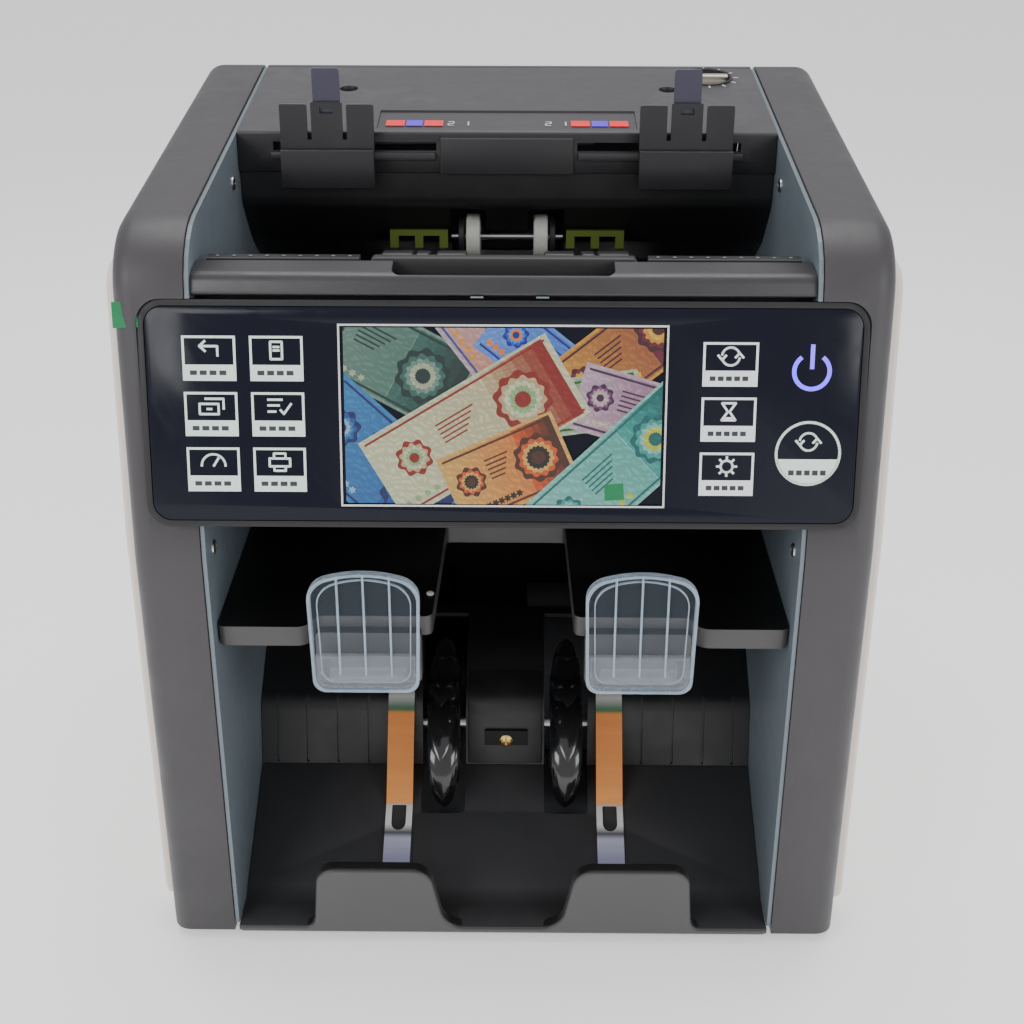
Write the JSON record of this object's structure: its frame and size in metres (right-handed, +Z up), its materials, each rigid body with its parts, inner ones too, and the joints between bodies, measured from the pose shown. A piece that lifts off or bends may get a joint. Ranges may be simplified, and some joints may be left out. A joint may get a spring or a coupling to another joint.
{
  "type": "banknote counting machine",
  "caption": "Desktop two-pocket banknote counter with a sloping hopper, touch panel with display, reject shelf and stacking pocket.",
  "frame": {"origin": "centre of the footprint, on the surface under the feet", "axes": "+Z up, -Y towards the user, +X to the user's right"},
  "size_m": [0.285, 0.2488, 0.33],
  "materials": {
    "dark_shell": "fine texture, dark warm grey",
    "pale_shell": "satin, pale warm grey",
    "blue_steel": "satin blue-grey paint on sheet steel",
    "black_plastic": "satin black",
    "black_glass": "polished black touch glass",
    "screen": "lit colour display",
    "smoke_clear": "smoke-tinted clear plastic",
    "clear_plastic": "clear moulded plastic",
    "chrome": "polished",
    "steel": "turned",
    "zinc_sheet": "zinc-plated sheet",
    "rubber": "ground rubber",
    "wheel_black": "glossy flexible black vanes",
    "green_pad": "yellow-green moulded comb",
    "circuit_board": "green board"
  },
  "bodies": {
    "root": {"side_frame_left": "dark_shell", "side_frame_right": "dark_shell", "top_cover": "dark_shell", "rear_cover": "dark_shell", "hopper_cap": "dark_shell", "stacker_tray": "dark_shell", "stacker_back": "dark_shell", "side_cover_left": "pale_shell", "side_cover_right": "pale_shell", "lining_plate_left": "blue_steel", "lining_plate_right": "blue_steel", "hopper_floor": "black_plastic", "hopper_back": "black_plastic", "panel_housing": "black_plastic", "reject_shelf": "black_plastic", "reject_back": "black_plastic", "pocket_roof": "black_plastic", "power_inlet": "black_plastic", "panel_glass": "black_glass", "display": "screen", "note_strip_left": "chrome", "note_strip_right": "chrome", "stopper_pin_left": "steel", "stopper_pin_right": "steel", "base_plate": "zinc_sheet", "drive_motor": "zinc_sheet", "power_supply": "zinc_sheet", "foot_front_left": "rubber", "foot_front_right": "rubber", "foot_rear_left": "rubber", "foot_rear_right": "rubber", "drive_belt": "rubber", "separation_comb_left": "green_pad", "separation_comb_right": "green_pad", "main_board": "circuit_board"},
    "stopper_left": {"stopper_left": "clear_plastic"},
    "stopper_right": {"stopper_right": "clear_plastic"},
    "stacker_rotor": {"stacker_shaft": "steel", "stacker_wheel_left": "wheel_black", "stacker_wheel_right": "wheel_black"},
    "reject_rotor": {"reject_shaft": "steel", "reject_wheel_left": "wheel_black", "reject_wheel_right": "wheel_black"},
    "feed_rotor": {"feed_shaft": "steel", "feed_roller_left": "rubber", "feed_roller_right": "rubber"},
    "idler_rotor": {"idler_shaft": "steel", "idler_roller_left": "chrome", "idler_roller_right": "chrome"},
    "drum": {"transport_drum": "rubber"},
    "transport_rotor": {"transport_roller": "rubber"},
    "motor_rotor": {"motor_pulley": "steel"},
    "guide_left": {"note_guide_left": "smoke_clear", "guide_rack_left": "black_plastic"},
    "guide_right": {"note_guide_right": "smoke_clear", "guide_rack_right": "black_plastic"},
    "pinion": {"guide_pinion": "black_plastic"},
    "knob": {"gap_knob": "steel"},
    "gate": {"diverter_gate": "black_plastic"},
    "rocker": {"power_rocker": "black_plastic"}
  },
  "joints": [
    {"name": "stopper_left_tip", "type": "hinge", "parent": "root", "child": "stopper_left", "pos_m": [-0.051, -0.1153, 0.122], "axis": [1, 0, 0], "range_deg": [0, 70], "stiffness_Nm_per_rad": 0.02},
    {"name": "stopper_right_tip", "type": "hinge", "parent": "root", "child": "stopper_right", "pos_m": [0.051, -0.1153, 0.122], "axis": [1, 0, 0], "range_deg": [0, 70], "stiffness_Nm_per_rad": 0.02},
    {"name": "drum_spin", "type": "hinge", "parent": "root", "child": "drum", "pos_m": [0, 0.0477, 0.204], "axis": [1, 0, 0], "continuous": true},
    {"name": "motor_spin", "type": "hinge", "parent": "root", "child": "motor_rotor", "pos_m": [0, 0.0697, 0.064], "axis": [1, 0, 0], "continuous": true},
    {"name": "stacker_spin", "type": "hinge", "parent": "root", "child": "stacker_rotor", "pos_m": [0, -0.0417, 0.0546], "axis": [1, 0, 0], "continuous": true},
    {"name": "reject_spin", "type": "hinge", "parent": "root", "child": "reject_rotor", "pos_m": [0, -0.0163, 0.176], "axis": [1, 0, 0], "continuous": true},
    {"name": "feed_spin", "type": "hinge", "parent": "root", "child": "feed_rotor", "pos_m": [0, -0.0149, 0.2402], "axis": [1, 0, 0], "continuous": true},
    {"name": "transport_spin", "type": "hinge", "parent": "root", "child": "transport_rotor", "pos_m": [0, 0.0517, 0.129], "axis": [1, 0, 0], "continuous": true},
    {"name": "idler_spin", "type": "hinge", "parent": "root", "child": "idler_rotor", "pos_m": [0, 0.0107, 0.26], "axis": [1, 0, 0], "continuous": true},
    {"name": "guide_left_slide", "type": "slide", "parent": "root", "child": "guide_left", "axis": [1, 0, 0], "range_m": [-0.003, 0.023]},
    {"name": "guide_right_slide", "type": "slide", "parent": "root", "child": "guide_right", "axis": [1, 0, 0], "range_m": [-0.0235, 0.0035]},
    {"name": "pinion_turn", "type": "hinge", "parent": "root", "child": "pinion", "pos_m": [0, 0.0034, 0.294], "axis": [0, 1, 0], "range_deg": [-40, 280]},
    {"name": "knob_turn", "type": "hinge", "parent": "root", "child": "knob", "pos_m": [0.0862, 0.0627, 0.31791], "axis": [0, -0.1749, 0.9846], "range_deg": [-135, 135]},
    {"name": "gate_turn", "type": "hinge", "parent": "root", "child": "gate", "pos_m": [0, 0.0117, 0.154], "axis": [1, 0, 0], "range_deg": [-12, 12], "stiffness_Nm_per_rad": 0.01},
    {"name": "rocker_tip", "type": "hinge", "parent": "root", "child": "rocker", "pos_m": [-0.0425, 0.1218, 0.038], "axis": [1, 0, 0], "range_deg": [0, 16]}
  ],
  "couplings": [
    {"joint": "motor_spin", "follows": "drum_spin", "ratio": 1.5556},
    {"joint": "stacker_spin", "follows": "drum_spin", "ratio": 0.875},
    {"joint": "reject_spin", "follows": "drum_spin", "ratio": 0.66202},
    {"joint": "feed_spin", "follows": "drum_spin", "ratio": 1.1667},
    {"joint": "transport_spin", "follows": "drum_spin", "ratio": 0.73488},
    {"joint": "guide_right_slide", "follows": "guide_left_slide", "ratio": -1},
    {"joint": "pinion_turn", "follows": "guide_left_slide", "rad_per_m": 209.44}
  ]
}
